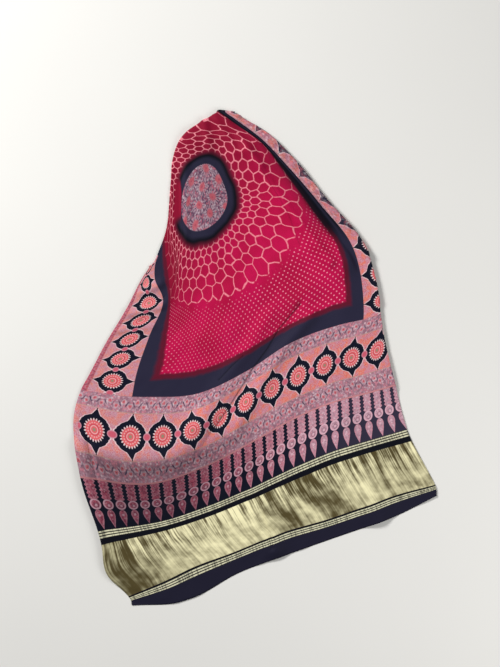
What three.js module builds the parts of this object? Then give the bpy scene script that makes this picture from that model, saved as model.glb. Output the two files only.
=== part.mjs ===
import * as THREE from "three";

// An ajrakh shawl of silk with a woven gold end band, laid out on a level surface. The near end is spread
// out, the far end is folded under along the shoulder fold, and the right border is turned under.
// Millimetres, +X to the right, +Y towards the shoulder fold, +Z up. The origin is on the surface, in the
// middle of the shawl's footprint.

// Flat cloth: "across" runs from the left selvage to the right one, 0 on the middle line, and "along" runs
// from the near hem to the far hem.
const CLOTH_WIDE = 1100;
const CLOTH_LONG = 2400;
const THICK = 1.5;

// How the layers lie
const LAYER_STEP = 4;
const FLOOR_LAYER = THICK / 2;
const HEM_REST = { start: 90, end: 20 };
const BORDER_REST = { start: 12, end: 80 };
const FLAP_BEND_SHARE = 0.7;

// Middle of the footprint in the numbers of the tables below
const CENTRE = { x: 0.3, y: 791.9 };

// Where the shawl lies, a row for each cross line of the flat cloth. along is that line's distance from the
// near hem, lip the place across where the field dips into the groove, edge the place across where the right
// border turns under. line holds the laid places [x, y] of nine points across: left selvage, outer and inner
// edge of the left navy band, left half, middle, right half, lip, outer edge of the right navy band, edge.
const STATIONS = [
  {
    along: 0, lip: 343, edge: 540,
    line: [
      [-392, 2], [-246, 11], [-195, 27], [-54, 104], [96, 161],
      [248, 215], [400, 268], [450, 287], [577, 351],
    ],
  },
  {
    along: 80, lip: 343, edge: 540,
    line: [
      [-405, 32], [-266, 92], [-214, 118], [-69, 173], [80, 234],
      [233, 279], [386, 333], [436, 351], [571, 388],
    ],
  },
  {
    along: 150, lip: 343, edge: 540,
    line: [
      [-472, 105], [-309, 156], [-257, 175], [-108, 226], [41, 290],
      [195, 346], [348, 402], [400, 418], [538, 450],
    ],
  },
  {
    along: 221, lip: 343, edge: 540,
    line: [
      [-488, 197], [-349, 226], [-297, 238], [-141, 288], [9, 350],
      [158, 415], [309, 473], [362, 488], [498, 526],
    ],
  },
  {
    along: 411, lip: 343, edge: 537,
    line: [
      [-557, 421], [-392, 396], [-335, 397], [-163, 450], [-13, 528],
      [133, 608], [284, 667], [335, 679], [444, 710],
    ],
  },
  {
    along: 526, lip: 343, edge: 514,
    line: [
      [-579, 581], [-415, 541], [-352, 538], [-179, 568], [-29, 651],
      [119, 725], [270, 783], [321, 795], [416, 825],
    ],
  },
  {
    along: 635, lip: 343, edge: 456,
    line: [
      [-555, 689], [-392, 668], [-332, 667], [-179, 679], [-26, 750],
      [121, 843], [290, 902], [345, 914], [398, 930],
    ],
  },
  {
    along: 700, lip: 343, edge: 450,
    line: [
      [-530, 735], [-381, 727], [-293, 729], [-160, 750], [-29, 807],
      [115, 893], [290, 963], [345, 973], [392, 981],
    ],
  },
  {
    along: 870, lip: 343, edge: 435,
    line: [
      [-477, 836], [-338, 858], [-279, 871], [-169, 925], [-48, 994],
      [108, 1053], [268, 1128], [314, 1137], [345, 1144],
    ],
  },
  {
    along: 1060, lip: 335, edge: 428,
    line: [
      [-408, 951], [-293, 974], [-270, 986], [-223, 1072], [-112, 1168],
      [19, 1239], [172, 1268], [206, 1290], [224, 1294],
    ],
  },
  {
    along: 1200, lip: 330, edge: 428,
    line: [
      [-373, 1021], [-319, 1043], [-276, 1059], [-242, 1168], [-160, 1298],
      [-38, 1351], [75, 1400], [100, 1413], [113, 1430],
    ],
  },
  {
    along: 1300, lip: 310, edge: 420,
    line: [
      [-357, 1050], [-319, 1085], [-284, 1116], [-263, 1225], [-184, 1392],
      [-89, 1479], [5, 1483], [19, 1497], [29, 1511],
    ],
  },
  {
    along: 1400, lip: 280, edge: 415,
    line: [
      [-337, 1080], [-309, 1118], [-289, 1172], [-270, 1290], [-256, 1430],
      [-203, 1513], [-125, 1563], [-87, 1573], [-67, 1570],
    ],
  },
];

// The shoulder fold's true distance from the near hem, at places across. The last station lies on the fold.
const SHOULDER_FOLD = [
  { across: -550, along: 1290 },
  { across: -400, along: 1300 },
  { across: -171, along: 1330 },
  { across: 0, along: 1400 },
  { across: 171, along: 1440 },
  { across: 550, along: 1425 },
];

// Soft folds of the upper layer: a ridge along a path, its half width and its height. A negative height is a
// crease.
const FOLDS = [
  {
    name: "broad rise along the groove", wide: 42, high: 11,
    path: [[-16, 1455], [54, 1365], [131, 1270], [214, 1168], [287, 1097]],
  },
  {
    name: "lip of the groove", wide: 22, high: 12,
    path: [[-29, 1448], [35, 1359], [105, 1263], [182, 1168], [239, 1097]],
  },
  {
    name: "groove", wide: 15, high: -8,
    path: [[-38, 1550], [10, 1509], [80, 1436], [144, 1362], [207, 1276], [258, 1203], [309, 1132], [335, 1078]],
  },
  {
    name: "right border, upper", wide: 15, high: 9,
    path: [[-48, 1563], [22, 1525], [93, 1461], [201, 1333], [309, 1199], [360, 1129]],
  },
  {
    name: "right border, lower", wide: 16, high: 6,
    path: [[360, 1129], [386, 1056], [396, 976]],
  },
  {
    name: "shoulder mound", wide: 60, high: 12,
    path: [[-207, 1455], [-160, 1183]],
  },
  {
    name: "left of the disc", wide: 19, high: 6,
    path: [[-220, 1407], [-226, 1279], [-223, 1168]],
  },
  {
    name: "left tuck", wide: 17, high: -7,
    path: [[-249, 1378], [-246, 1295], [-239, 1136]],
  },
  {
    name: "neck, left gather", wide: 18, high: 5,
    path: [[-160, 1538], [-144, 1455]],
  },
  {
    name: "neck, middle gather", wide: 18, high: 6,
    path: [[-121, 1550], [-61, 1448]],
  },
  {
    name: "neck, right gather", wide: 18, high: 6,
    path: [[-93, 1550], [22, 1404]],
  },
  {
    name: "slanting fold, left side", wide: 26, high: 15,
    path: [[54, 938], [-10, 842], [-54, 778], [-89, 721], [-124, 664], [-175, 581]],
  },
  {
    name: "slanting crease", wide: 15, high: -9,
    path: [[144, 963], [75, 882], [41, 822], [-7, 758], [-41, 702], [-76, 646], [-128, 569], [-163, 510]],
  },
  {
    name: "slanting fold, right side", wide: 26, high: 10,
    path: [[175, 919], [83, 810], [35, 734], [-3, 670], [-35, 612], [-73, 542]],
  },
  {
    name: "lower left fold", wide: 40, high: 12,
    path: [[-520, 491], [-367, 459], [-252, 472], [-175, 581]],
  },
  {
    name: "field swell, upper", wide: 50, high: 6,
    path: [[-112, 976], [150, 1120]],
  },
  {
    name: "field swell, lower", wide: 42, high: 5,
    path: [[-220, 836], [-45, 896]],
  },
  {
    name: "field swell, right", wide: 38, high: 5,
    path: [[112, 976], [249, 1065]],
  },
  {
    name: "left border gather, first", wide: 19, high: 8,
    path: [[-360, 998], [-300, 1027]],
  },
  {
    name: "left border gather, second", wide: 19, high: 7,
    path: [[-405, 931], [-300, 957]],
  },
  {
    name: "left border gather, third", wide: 19, high: 5,
    path: [[-440, 877], [-329, 893]],
  },
  {
    name: "left edge fold", wide: 36, high: 15,
    path: [[-571, 504], [-533, 338], [-501, 223], [-463, 83]],
  },
  {
    name: "left edge crease", wide: 16, high: -7,
    path: [[-533, 530], [-501, 386], [-469, 242]],
  },
  {
    name: "middle end fold", wide: 36, high: 13,
    path: [[67, 179], [26, 290], [-16, 383], [-48, 482]],
  },
  {
    name: "sharp end crease", wide: 15, high: -5,
    path: [[54, 185], [32, 274], [6, 348]],
  },
  {
    name: "right end fold", wide: 42, high: 13,
    path: [[392, 274], [338, 399], [303, 472], [278, 609]],
  },
  {
    name: "end border swell", wide: 36, high: 5,
    path: [[214, 759], [265, 593]],
  },
];

// How finely the surfaces are cut up: pieces between the nine points of a station, pieces of the turned edge
// and its flap, and rows
const PIECES_ACROSS = [4, 2, 5, 5, 5, 5, 2, 2];
const BEND_PIECES = 4;
const FLAP_PIECES = 2;
const UPPER_ROWS = 43;
const FOLD_PIECES = 5;
const UNDER_ROWS = 15;

const LEFT = -CLOTH_WIDE / 2;
const RIGHT = CLOTH_WIDE / 2;
const FOLD_STATION = STATIONS[STATIONS.length - 1].along;
const EVEN_UP_TO = 1060;

function smoothStep(low, high, value) {
  const t = Math.min(Math.max((value - low) / (high - low), 0), 1);
  return t * t * (3 - 2 * t);
}

function mix(a, b, t) {
  return a + (b - a) * t;
}

// A smooth curve through the values at the knots: cubic pieces whose slopes are the mean of the two
// neighbouring ones, weighted by nearness.
function slopeAt(knots, values, i) {
  const last = knots.length - 1;
  const before = Math.max(i, 1);
  const after = Math.min(i, last - 1);
  const slopeBefore = (values[before] - values[before - 1]) / (knots[before] - knots[before - 1]);
  const slopeAfter = (values[after + 1] - values[after]) / (knots[after + 1] - knots[after]);
  if (i === 0) return slopeAfter;
  if (i === last) return slopeBefore;
  const near = knots[i] - knots[i - 1];
  const far = knots[i + 1] - knots[i];
  return (far * slopeBefore + near * slopeAfter) / (near + far);
}

function curveThrough(knots, values, at) {
  let i = 0;
  while (i < knots.length - 2 && at > knots[i + 1]) i += 1;
  const span = knots[i + 1] - knots[i];
  const t = (at - knots[i]) / span;
  const start = (1 + 2 * t) * (1 - t) * (1 - t) * values[i];
  const end = t * t * (3 - 2 * t) * values[i + 1];
  const leave = t * (1 - t) * (1 - t) * span * slopeAt(knots, values, i);
  const arrive = t * t * (t - 1) * span * slopeAt(knots, values, i + 1);
  return start + end + leave + arrive;
}

const STATION_KNOTS = STATIONS.map((station) => station.along);

// The cross line at any distance along: its nine places across, and where they lie
function crossLine(along) {
  const through = (pick) => curveThrough(STATION_KNOTS, STATIONS.map(pick), along);
  const lip = through((station) => station.lip);
  const edge = through((station) => station.edge);
  return {
    across: [LEFT, -400, -343, -171, 0, 171, lip, 400, edge],
    x: STATIONS[0].line.map((_, k) => through((station) => station.line[k][0])),
    y: STATIONS[0].line.map((_, k) => through((station) => station.line[k][1])),
    edge,
  };
}

function placeOn(line, across) {
  return {
    x: curveThrough(line.across, line.x, across),
    y: curveThrough(line.across, line.y, across),
  };
}

// How far a place is from a path of straight pieces
function distanceTo(path, x, y) {
  let least = Infinity;
  for (let i = 1; i < path.length; i += 1) {
    const [fromX, fromY] = path[i - 1];
    const dx = path[i][0] - fromX;
    const dy = path[i][1] - fromY;
    const share = ((x - fromX) * dx + (y - fromY) * dy) / (dx * dx + dy * dy);
    const nearest = Math.min(Math.max(share, 0), 1);
    least = Math.min(least, Math.hypot(x - fromX - nearest * dx, y - fromY - nearest * dy));
  }
  return least;
}

// Height that the soft folds add at a place: each is a bell across its path
function foldHeight(x, y) {
  const heights = FOLDS.map((fold) => fold.high * Math.exp(-((distanceTo(fold.path, x, y) / fold.wide) ** 2)));
  return Math.max(heights.reduce((sum, height) => sum + height, 0), 0);
}

// Where the far hem lies, as a distance along, under the point of the upper layer that is at this place across
function farHemUnder(across) {
  const knots = SHOULDER_FOLD.map((point) => point.across);
  const fold = curveThrough(knots, SHOULDER_FOLD.map((point) => point.along), across);
  return Math.min(2 * fold - CLOTH_LONG, EVEN_UP_TO);
}

function overFarHalf(across, along) {
  const hem = farHemUnder(across);
  return smoothStep(hem - HEM_REST.start, hem - HEM_REST.end, along);
}

// Height of the upper layer: it lies on the far half, on the flaps of the right border, on both or on neither
function upperHeight(line, across, along, place) {
  const edge = placeOn(line, line.edge);
  const inward = Math.hypot(place.x - edge.x, place.y - edge.y);
  const flap = RIGHT - line.edge;
  const far = overFarHalf(across, along);
  const border = 1 - smoothStep(flap + BORDER_REST.start, flap + BORDER_REST.end, inward);
  const layers = far + (1 + far) * border;
  return FLOOR_LAYER + LAYER_STEP * layers + foldHeight(place.x, place.y);
}

// A sheet turned under along an edge: half a round bend, then straight back. It gives how far past the edge
// and how far down the sheet is, after running this length from the edge.
function turnUnder(length, radius) {
  const angle = length / radius;
  if (angle < Math.PI) return { out: radius * Math.sin(angle), down: radius * (1 - Math.cos(angle)) };
  return { out: Math.PI * radius - length, down: 2 * radius };
}

function acrossSteps(line) {
  const steps = [line.across[0]];
  PIECES_ACROSS.forEach((pieces, k) => {
    for (let i = 1; i <= pieces; i += 1) steps.push(mix(line.across[k], line.across[k + 1], i / pieces));
  });
  return steps;
}

// The turned-under part of a section: the bend, then the flap
function flapPoints(line, edgeHeight, flapHeight) {
  const edge = placeOn(line, line.edge);
  const inner = placeOn(line, line.across[5]);
  const reach = Math.hypot(inner.x - edge.x, inner.y - edge.y);
  const outX = (edge.x - inner.x) / reach;
  const outY = (edge.y - inner.y) / reach;
  const flap = RIGHT - line.edge;
  const radius = Math.abs(edgeHeight - flapHeight) / 2;
  const bend = Math.min(Math.PI * radius, FLAP_BEND_SHARE * flap);
  const lengths = [];
  for (let i = 1; i <= BEND_PIECES; i += 1) lengths.push((bend * i) / BEND_PIECES);
  for (let i = 1; i <= FLAP_PIECES; i += 1) lengths.push(mix(bend, flap, i / FLAP_PIECES));
  return lengths.map((length) => {
    const turn = turnUnder(length, radius);
    const z = edgeHeight + Math.sign(flapHeight - edgeHeight) * turn.down;
    return new THREE.Vector3(edge.x + outX * turn.out, edge.y + outY * turn.out, z);
  });
}

// One section of the upper layer, from the left selvage over the top to the flap's free edge
function upperSection(along) {
  const line = crossLine(along);
  const points = acrossSteps(line).map((across) => {
    const place = placeOn(line, across);
    return new THREE.Vector3(place.x, place.y, upperHeight(line, across, along, place));
  });
  const edgeHeight = points[points.length - 1].z;
  const flapHeight = FLOOR_LAYER + 2 * LAYER_STEP * overFarHalf(line.edge, along);
  return points.concat(flapPoints(line, edgeHeight, flapHeight));
}

// One section of the far half, which lies on the surface under the upper layer and mirrors it
function underSection(share) {
  const points = [];
  const foldLine = crossLine(FOLD_STATION);
  const columns = acrossSteps(foldLine).length;
  let line = foldLine;
  for (let j = 0; j < columns; j += 1) {
    const along = mix(FOLD_STATION, farHemUnder(acrossSteps(line)[j]), share);
    line = crossLine(along);
    const place = placeOn(line, acrossSteps(line)[j]);
    points.push(new THREE.Vector3(place.x, place.y, FLOOR_LAYER));
  }
  return points.concat(flapPoints(line, FLOOR_LAYER, FLOOR_LAYER + LAYER_STEP));
}

// The round of the shoulder fold: each column goes over a half ellipse from the upper layer to the far half
function foldSections(upper, under) {
  const outward = upper.map((_, j) => {
    const before = upper[Math.max(j - 1, 0)];
    const after = upper[Math.min(j + 1, upper.length - 1)];
    return new THREE.Vector2(before.y - after.y, after.x - before.x).normalize();
  });
  const topColumns = upper.length - BEND_PIECES - FLAP_PIECES;
  const sections = [];
  for (let i = 1; i < FOLD_PIECES; i += 1) {
    const angle = (Math.PI * i) / FOLD_PIECES;
    sections.push(upper.map((top, j) => {
      const low = under[j];
      const away = outward[Math.min(j, topColumns - 2)];
      const reach = (Math.sin(angle) * Math.abs(top.z - low.z)) / 2;
      const t = (1 - Math.cos(angle)) / 2;
      return new THREE.Vector3(
        mix(top.x, low.x, t) + away.x * reach,
        mix(top.y, low.y, t) + away.y * reach,
        mix(top.z, low.z, t),
      );
    }));
  }
  return sections;
}

// All sections from the near hem, over the shoulder fold, to the far hem
function clothSections() {
  const upper = [];
  for (let i = 0; i <= UPPER_ROWS; i += 1) upper.push(upperSection((FOLD_STATION * i) / UPPER_ROWS));
  const under = [];
  for (let i = 0; i <= UNDER_ROWS; i += 1) under.push(underSection(i / UNDER_ROWS));
  return [...upper, ...foldSections(upper[upper.length - 1], under[0]), ...under];
}

function normalAt(sections, i, j) {
  const above = sections[Math.min(i + 1, sections.length - 1)][j];
  const below = sections[Math.max(i - 1, 0)][j];
  const right = sections[i][Math.min(j + 1, sections[i].length - 1)];
  const left = sections[i][Math.max(j - 1, 0)];
  const across = new THREE.Vector3().subVectors(right, left);
  const along = new THREE.Vector3().subVectors(above, below);
  return across.cross(along).normalize();
}

// A sheet of even thickness about the sections: a face side, a back side and a rim that joins them
function sheetGeometry(sections, thickness) {
  const rows = sections.length;
  const columns = sections[0].length;
  const positions = [];
  for (const side of [1, -1]) {
    for (let i = 0; i < rows; i += 1) {
      for (let j = 0; j < columns; j += 1) {
        const point = normalAt(sections, i, j).multiplyScalar((side * thickness) / 2).add(sections[i][j]);
        const height = Math.abs(point.z) < 1e-3 ? 0 : point.z;
        positions.push(point.x - CENTRE.x, point.y - CENTRE.y, height);
      }
    }
  }
  const face = (i, j) => i * columns + j;
  const back = (i, j) => rows * columns + i * columns + j;
  const faces = [];
  const quad = (a, b, c, d) => faces.push(a, b, c, a, c, d);
  for (let i = 0; i < rows - 1; i += 1) {
    for (let j = 0; j < columns - 1; j += 1) {
      quad(face(i, j), face(i, j + 1), face(i + 1, j + 1), face(i + 1, j));
      quad(back(i, j), back(i + 1, j), back(i + 1, j + 1), back(i, j + 1));
    }
  }
  for (let i = 0; i < rows - 1; i += 1) {
    quad(face(i, 0), face(i + 1, 0), back(i + 1, 0), back(i, 0));
    quad(face(i + 1, columns - 1), face(i, columns - 1), back(i, columns - 1), back(i + 1, columns - 1));
  }
  for (let j = 0; j < columns - 1; j += 1) {
    quad(face(0, j + 1), face(0, j), back(0, j), back(0, j + 1));
    quad(face(rows - 1, j), face(rows - 1, j + 1), back(rows - 1, j + 1), back(rows - 1, j));
  }
  const geometry = new THREE.BufferGeometry();
  geometry.setAttribute("position", new THREE.Float32BufferAttribute(positions, 3));
  geometry.setIndex(faces);
  geometry.computeVertexNormals();
  return geometry;
}

function makeShawl() {
  const silk = new THREE.MeshStandardMaterial({ color: 0xb8174b, roughness: 0.55, metalness: 0 });
  const mesh = new THREE.Mesh(sheetGeometry(clothSections(), THICK), silk);
  mesh.name = "shawl";
  return mesh;
}

const group = new THREE.Group();
group.add(makeShawl());

export default group;
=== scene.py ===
"""A silk shawl with block-printed borders, a tie-dyed field and a woven gold end band, laid out on a floor.

The near end is spread out, the far half is folded under along the shoulder fold, and the right border is
turned under. Lengths in the tables are millimetres, and Blender's own are metres.
"""

import bpy
import numpy as np
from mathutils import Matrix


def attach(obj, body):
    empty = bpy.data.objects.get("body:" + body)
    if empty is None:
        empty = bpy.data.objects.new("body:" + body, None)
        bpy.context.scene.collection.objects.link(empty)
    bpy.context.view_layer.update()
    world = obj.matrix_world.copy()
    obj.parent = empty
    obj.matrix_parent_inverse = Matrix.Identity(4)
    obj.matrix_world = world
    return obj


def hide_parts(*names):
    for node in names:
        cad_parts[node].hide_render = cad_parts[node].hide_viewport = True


bl_info = {
    "name": "Laid Shawl",
    "version": (1, 0, 0),
    "blender": (4, 5, 0),
    "location": "3D View > Sidebar > Shawl",
    "description": "Makes a printed and tie-dyed silk shawl, laid out with its far half folded under",
    "category": "Add Mesh",
}

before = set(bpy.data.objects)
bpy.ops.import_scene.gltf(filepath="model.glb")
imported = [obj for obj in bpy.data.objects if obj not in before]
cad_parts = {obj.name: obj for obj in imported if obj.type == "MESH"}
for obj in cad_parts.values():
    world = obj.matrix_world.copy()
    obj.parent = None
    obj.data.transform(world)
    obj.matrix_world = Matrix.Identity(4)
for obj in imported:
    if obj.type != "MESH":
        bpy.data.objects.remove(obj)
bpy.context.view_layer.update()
MM = 0.001

# Flat cloth: "across" runs from the left selvage to the right one, 0 on the middle line, and "along" runs
# from the near hem to the far hem.
CLOTH_WIDE = 1100.0
CLOTH_LONG = 2400.0
RIGHT = CLOTH_WIDE / 2
CENTRE = (0.3, 791.9)
FLOOR_LAYER = 0.75
LAYER_STEP = 4.0
HEM_REST = (90.0, 20.0)
BORDER_REST = (12.0, 80.0)
FLAP_BEND_SHARE = 0.7
FOLD_STATION = 1400.0
EVEN_UP_TO = 1060.0
FIXED_PLACES = (-550.0, -400.0, -343.0, -171.0, 0.0, 171.0)
EDGE_PLACE = 8
CLOTH_MAP = "Flat cloth"

# Where the shawl lies, a row for each cross line of the flat cloth: its distance from the near hem, the place
# across where the field dips into the groove, the place across where the right border turns under, and the
# laid places (x, y) of nine points across.
STATIONS = (
    (0, 343, 540, ((-392, 2), (-246, 11), (-195, 27), (-54, 104), (96, 161),
        (248, 215), (400, 268), (450, 287), (577, 351))),
    (80, 343, 540, ((-405, 32), (-266, 92), (-214, 118), (-69, 173), (80, 234),
        (233, 279), (386, 333), (436, 351), (571, 388))),
    (150, 343, 540, ((-472, 105), (-309, 156), (-257, 175), (-108, 226), (41, 290),
        (195, 346), (348, 402), (400, 418), (538, 450))),
    (221, 343, 540, ((-488, 197), (-349, 226), (-297, 238), (-141, 288), (9, 350),
        (158, 415), (309, 473), (362, 488), (498, 526))),
    (411, 343, 537, ((-557, 421), (-392, 396), (-335, 397), (-163, 450), (-13, 528),
        (133, 608), (284, 667), (335, 679), (444, 710))),
    (526, 343, 514, ((-579, 581), (-415, 541), (-352, 538), (-179, 568), (-29, 651),
        (119, 725), (270, 783), (321, 795), (416, 825))),
    (635, 343, 456, ((-555, 689), (-392, 668), (-332, 667), (-179, 679), (-26, 750),
        (121, 843), (290, 902), (345, 914), (398, 930))),
    (700, 343, 450, ((-530, 735), (-381, 727), (-305, 731), (-160, 750), (-29, 807),
        (115, 893), (290, 963), (345, 973), (392, 981))),
    (870, 343, 435, ((-477, 836), (-338, 858), (-279, 871), (-169, 925), (-48, 994),
        (108, 1053), (268, 1128), (314, 1137), (345, 1144))),
    (1060, 335, 428, ((-408, 951), (-293, 974), (-270, 986), (-223, 1072), (-112, 1168),
        (19, 1239), (172, 1268), (206, 1290), (224, 1294))),
    (1200, 330, 428, ((-373, 1021), (-319, 1043), (-276, 1059), (-242, 1168), (-160, 1298),
        (-38, 1351), (75, 1400), (100, 1413), (113, 1430))),
    (1300, 310, 420, ((-357, 1050), (-319, 1085), (-284, 1116), (-263, 1225), (-184, 1392),
        (-89, 1479), (5, 1483), (19, 1497), (29, 1511))),
    (1400, 280, 415, ((-337, 1080), (-309, 1118), (-289, 1172), (-270, 1290), (-256, 1430),
        (-203, 1513), (-125, 1563), (-87, 1573), (-67, 1570))),
)

# The shoulder fold's true distance from the near hem, at places across
SHOULDER_FOLD = ((-550, 1290), (-400, 1300), (-171, 1330), (0, 1400), (171, 1440), (550, 1425))

# Soft folds of the upper layer: height, half width, and the path that each follows. A negative height is a
# crease.
FOLDS = (
    (12, 40, ((-16, 1455), (54, 1365), (131, 1270), (214, 1168), (287, 1097))),
    (13, 17, ((-29, 1448), (35, 1359), (105, 1263), (182, 1168), (239, 1097))),
    (
        -14, 10,
        ((-38, 1550), (10, 1509), (80, 1436), (144, 1362),
         (207, 1276), (258, 1203), (309, 1132), (335, 1078)),
    ),
    (11, 12, ((-48, 1563), (22, 1525), (93, 1461), (201, 1333), (309, 1199), (360, 1129))),
    (6, 14, ((360, 1129), (386, 1056), (396, 976))),
    (12, 60, ((-207, 1455), (-160, 1183))),
    (6, 15, ((-220, 1407), (-226, 1279), (-223, 1168))),
    (-9, 11, ((-249, 1378), (-246, 1295), (-239, 1136))),
    (6, 13, ((-160, 1538), (-144, 1455))),
    (7, 13, ((-121, 1550), (-61, 1448))),
    (6, 13, ((-93, 1550), (22, 1404))),
    (7, 26, ((54, 938), (-10, 842), (-54, 778), (-89, 721), (-124, 664), (-175, 581))),
    (
        -15, 6.5,
        ((144, 963), (75, 882), (41, 822), (-7, 758),
         (-41, 702), (-76, 646), (-128, 569), (-163, 510)),
    ),
    (10, 22, ((175, 919), (83, 810), (35, 734), (-3, 670), (-35, 612), (-73, 542))),
    (12, 38, ((-520, 491), (-367, 459), (-252, 472), (-175, 581))),
    (6, 50, ((-112, 976), (150, 1120))),
    (5, 42, ((-220, 836), (-45, 896))),
    (5, 38, ((112, 976), (249, 1065))),
    (8, 14, ((-360, 998), (-300, 1027))),
    (7, 14, ((-405, 931), (-300, 957))),
    (5, 14, ((-440, 877), (-329, 893))),
    (15, 30, ((-571, 504), (-533, 338), (-501, 223), (-463, 83))),
    (-12, 9, ((-533, 530), (-501, 386), (-469, 242))),
    (13, 30, ((67, 179), (26, 290), (-16, 383), (-48, 482))),
    (-9, 6, ((54, 185), (32, 274), (6, 348))),
    (13, 42, ((392, 274), (338, 399), (303, 472), (278, 609))),
    (5, 34, ((214, 759), (265, 593))),
)

# Sharp creases, too fine for the mesh and so drawn in the material as a bump and as painted shade: depth,
# half width and path
CREASES = (
    (3.0, 4.0, ((144, 963), (75, 882), (41, 822), (-7, 758), (-41, 702), (-76, 646), (-128, 569))),
    (2.0, 4.0, ((-539, 542), (-507, 408), (-469, 249))),
    (1.6, 4.0, ((-287, 989), (-335, 938), (-373, 906))),
    (1.6, 4.0, ((22, 1391), (105, 1250), (144, 1148))),
    (2.4, 4.0, ((-38, 798), (-73, 766), (-115, 721))),
)

# Grid pieces between the nine places across, round the turned edge, on its flap, and rows
PIECES_ACROSS = (20, 9, 24, 24, 24, 24, 11, 14)
BEND_PIECES = 6
FLAP_PIECES = 5
UPPER_ROWS = 250
FOLD_PIECES = 8
UNDER_ROWS = 34


def smooth_step(low, high, value):
    """0 below low, 1 above high, and a cubic S between them; high may lie below low."""
    t = np.clip((value - low) / (high - low), 0.0, 1.0)
    return t * t * (3.0 - 2.0 * t)


def curve_through(knots, values, at):
    """A smooth curve through values at knots, one curve a row, read at one place a row.

    Cubic pieces: each knot's slope is the mean of the two neighbouring straight slopes, weighted by nearness,
    and an end knot has its only neighbour's slope.
    """
    spans = np.diff(knots, axis=1)
    straight = np.diff(values, axis=1) / spans
    weighted = spans[:, 1:] * straight[:, :-1] + spans[:, :-1] * straight[:, 1:]
    inner = weighted / (spans[:, 1:] + spans[:, :-1])
    slopes = np.hstack((straight[:, :1], inner, straight[:, -1:]))
    piece = (at[:, None] >= knots[:, 1:-1]).sum(axis=1)[:, None]

    def take(table, step=0):
        return np.take_along_axis(table, piece + step, axis=1)[:, 0]

    span = take(spans)
    t = (at - take(knots)) / span
    return (
        (1 + 2 * t) * (1 - t) ** 2 * take(values)
        + t * t * (3 - 2 * t) * take(values, 1)
        + t * (1 - t) ** 2 * span * take(slopes)
        + t * t * (t - 1) * span * take(slopes, 1)
    )


def read_table(knots, values, at):
    """The same curve through one list of knots and values, read at a whole array of places."""
    count = len(at)
    many_knots = np.broadcast_to(np.asarray(knots, float), (count, len(knots)))
    many_values = np.broadcast_to(np.asarray(values, float), (count, len(values)))
    return curve_through(many_knots, many_values, at)


class CrossLines:
    """The cross line of the laid cloth at each distance along: its nine places across and where they lie."""

    def __init__(self, along):
        knots = [row[0] for row in STATIONS]
        places = np.array([row[3] for row in STATIONS], float)
        lip = read_table(knots, [row[1] for row in STATIONS], along)
        self.edge = read_table(knots, [row[2] for row in STATIONS], along)
        fixed = [np.full_like(along, place) for place in FIXED_PLACES]
        self.across = np.stack([*fixed, lip, np.full_like(along, 400.0), self.edge], axis=1)
        self.x = np.stack([read_table(knots, places[:, k, 0], along) for k in range(9)], axis=1)
        self.y = np.stack([read_table(knots, places[:, k, 1], along) for k in range(9)], axis=1)

    def across_at(self, step):
        """The place across for a step from 0 to 8, whole at the nine places and even between them."""
        low = np.clip(np.floor(step).astype(int), 0, EDGE_PLACE - 1)[:, None]
        share = step - low[:, 0]
        start = np.take_along_axis(self.across, low, axis=1)[:, 0]
        end = np.take_along_axis(self.across, low + 1, axis=1)[:, 0]
        return start + (end - start) * share

    def place_of(self, across):
        return curve_through(self.across, self.x, across), curve_through(self.across, self.y, across)


def shoulder_fold(across):
    return read_table([row[0] for row in SHOULDER_FOLD], [row[1] for row in SHOULDER_FOLD], across)


def far_hem_under(across):
    """Where the far hem lies, as a distance along, under the upper layer's point at this place across."""
    return np.minimum(2 * shoulder_fold(across) - CLOTH_LONG, EVEN_UP_TO)


def above_far_half(across, along):
    """1 where the far half lies below, 0 nearer than its hem, and a cubic S between them."""
    hem = far_hem_under(across)
    return smooth_step(hem - HEM_REST[0], hem - HEM_REST[1], along)


def cloth_length(across, along):
    """The flat cloth's true distance from the near hem for a point of the upper layer."""
    stretch = (shoulder_fold(across) - EVEN_UP_TO) / (FOLD_STATION - EVEN_UP_TO)
    return np.where(along <= EVEN_UP_TO, along, EVEN_UP_TO + (along - EVEN_UP_TO) * stretch)


def distance_to_path(path, x, y):
    """How far each place is from a path of straight pieces."""
    least = np.full_like(x, np.inf)
    for (from_x, from_y), (to_x, to_y) in zip(path[:-1], path[1:]):
        dx, dy = to_x - from_x, to_y - from_y
        share = np.clip(((x - from_x) * dx + (y - from_y) * dy) / (dx * dx + dy * dy), 0, 1)
        least = np.minimum(least, np.hypot(x - from_x - share * dx, y - from_y - share * dy))
    return least


def fold_height(x, y):
    """The height of the soft folds: the sum of a bell across each path."""
    height = np.zeros_like(x)
    for high, wide, path in FOLDS:
        height += high * np.exp(-((distance_to_path(path, x, y) / wide) ** 2))
    return height


def soft_noise(x, y, size, seed):
    """Smooth noise from -1 to 1: random heights on a square grid of this size, blended with cubic steps."""
    heights = np.random.default_rng(seed).uniform(-1, 1, (64, 64))
    gx, gy = x / size + 500.0, y / size + 500.0
    ix, iy = np.floor(gx).astype(int), np.floor(gy).astype(int)
    fx, fy = smooth_step(0, 1, gx - ix), smooth_step(0, 1, gy - iy)

    def corner(dx, dy):
        return heights[(ix + dx) % 64, (iy + dy) % 64]

    low = corner(0, 0) * (1 - fx) + corner(1, 0) * fx
    high = corner(0, 1) * (1 - fx) + corner(1, 1) * fx
    return low * (1 - fy) + high * fy


def crumple_height(across, length, scale):
    """Fine unevenness in the flat cloth's own numbers.

    Soft noise of two sizes everywhere, and in the gold band pleats that run along the cloth: noise squeezed
    across and stretched along, which fades out at the band's edges.
    """
    soft = 2.0 * soft_noise(across, length, 70.0, 3) + 0.8 * soft_noise(across, length, 31.0, 5)
    in_band = smooth_step(70, 100, length) * smooth_step(240, 205, length)
    pleats = 2.6 * soft_noise(across, length * 0.16, 17.0, 8)
    pleats += 1.6 * soft_noise(across, length * 0.4, 34.0, 12)
    return scale * (soft + in_band * pleats)


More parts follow.
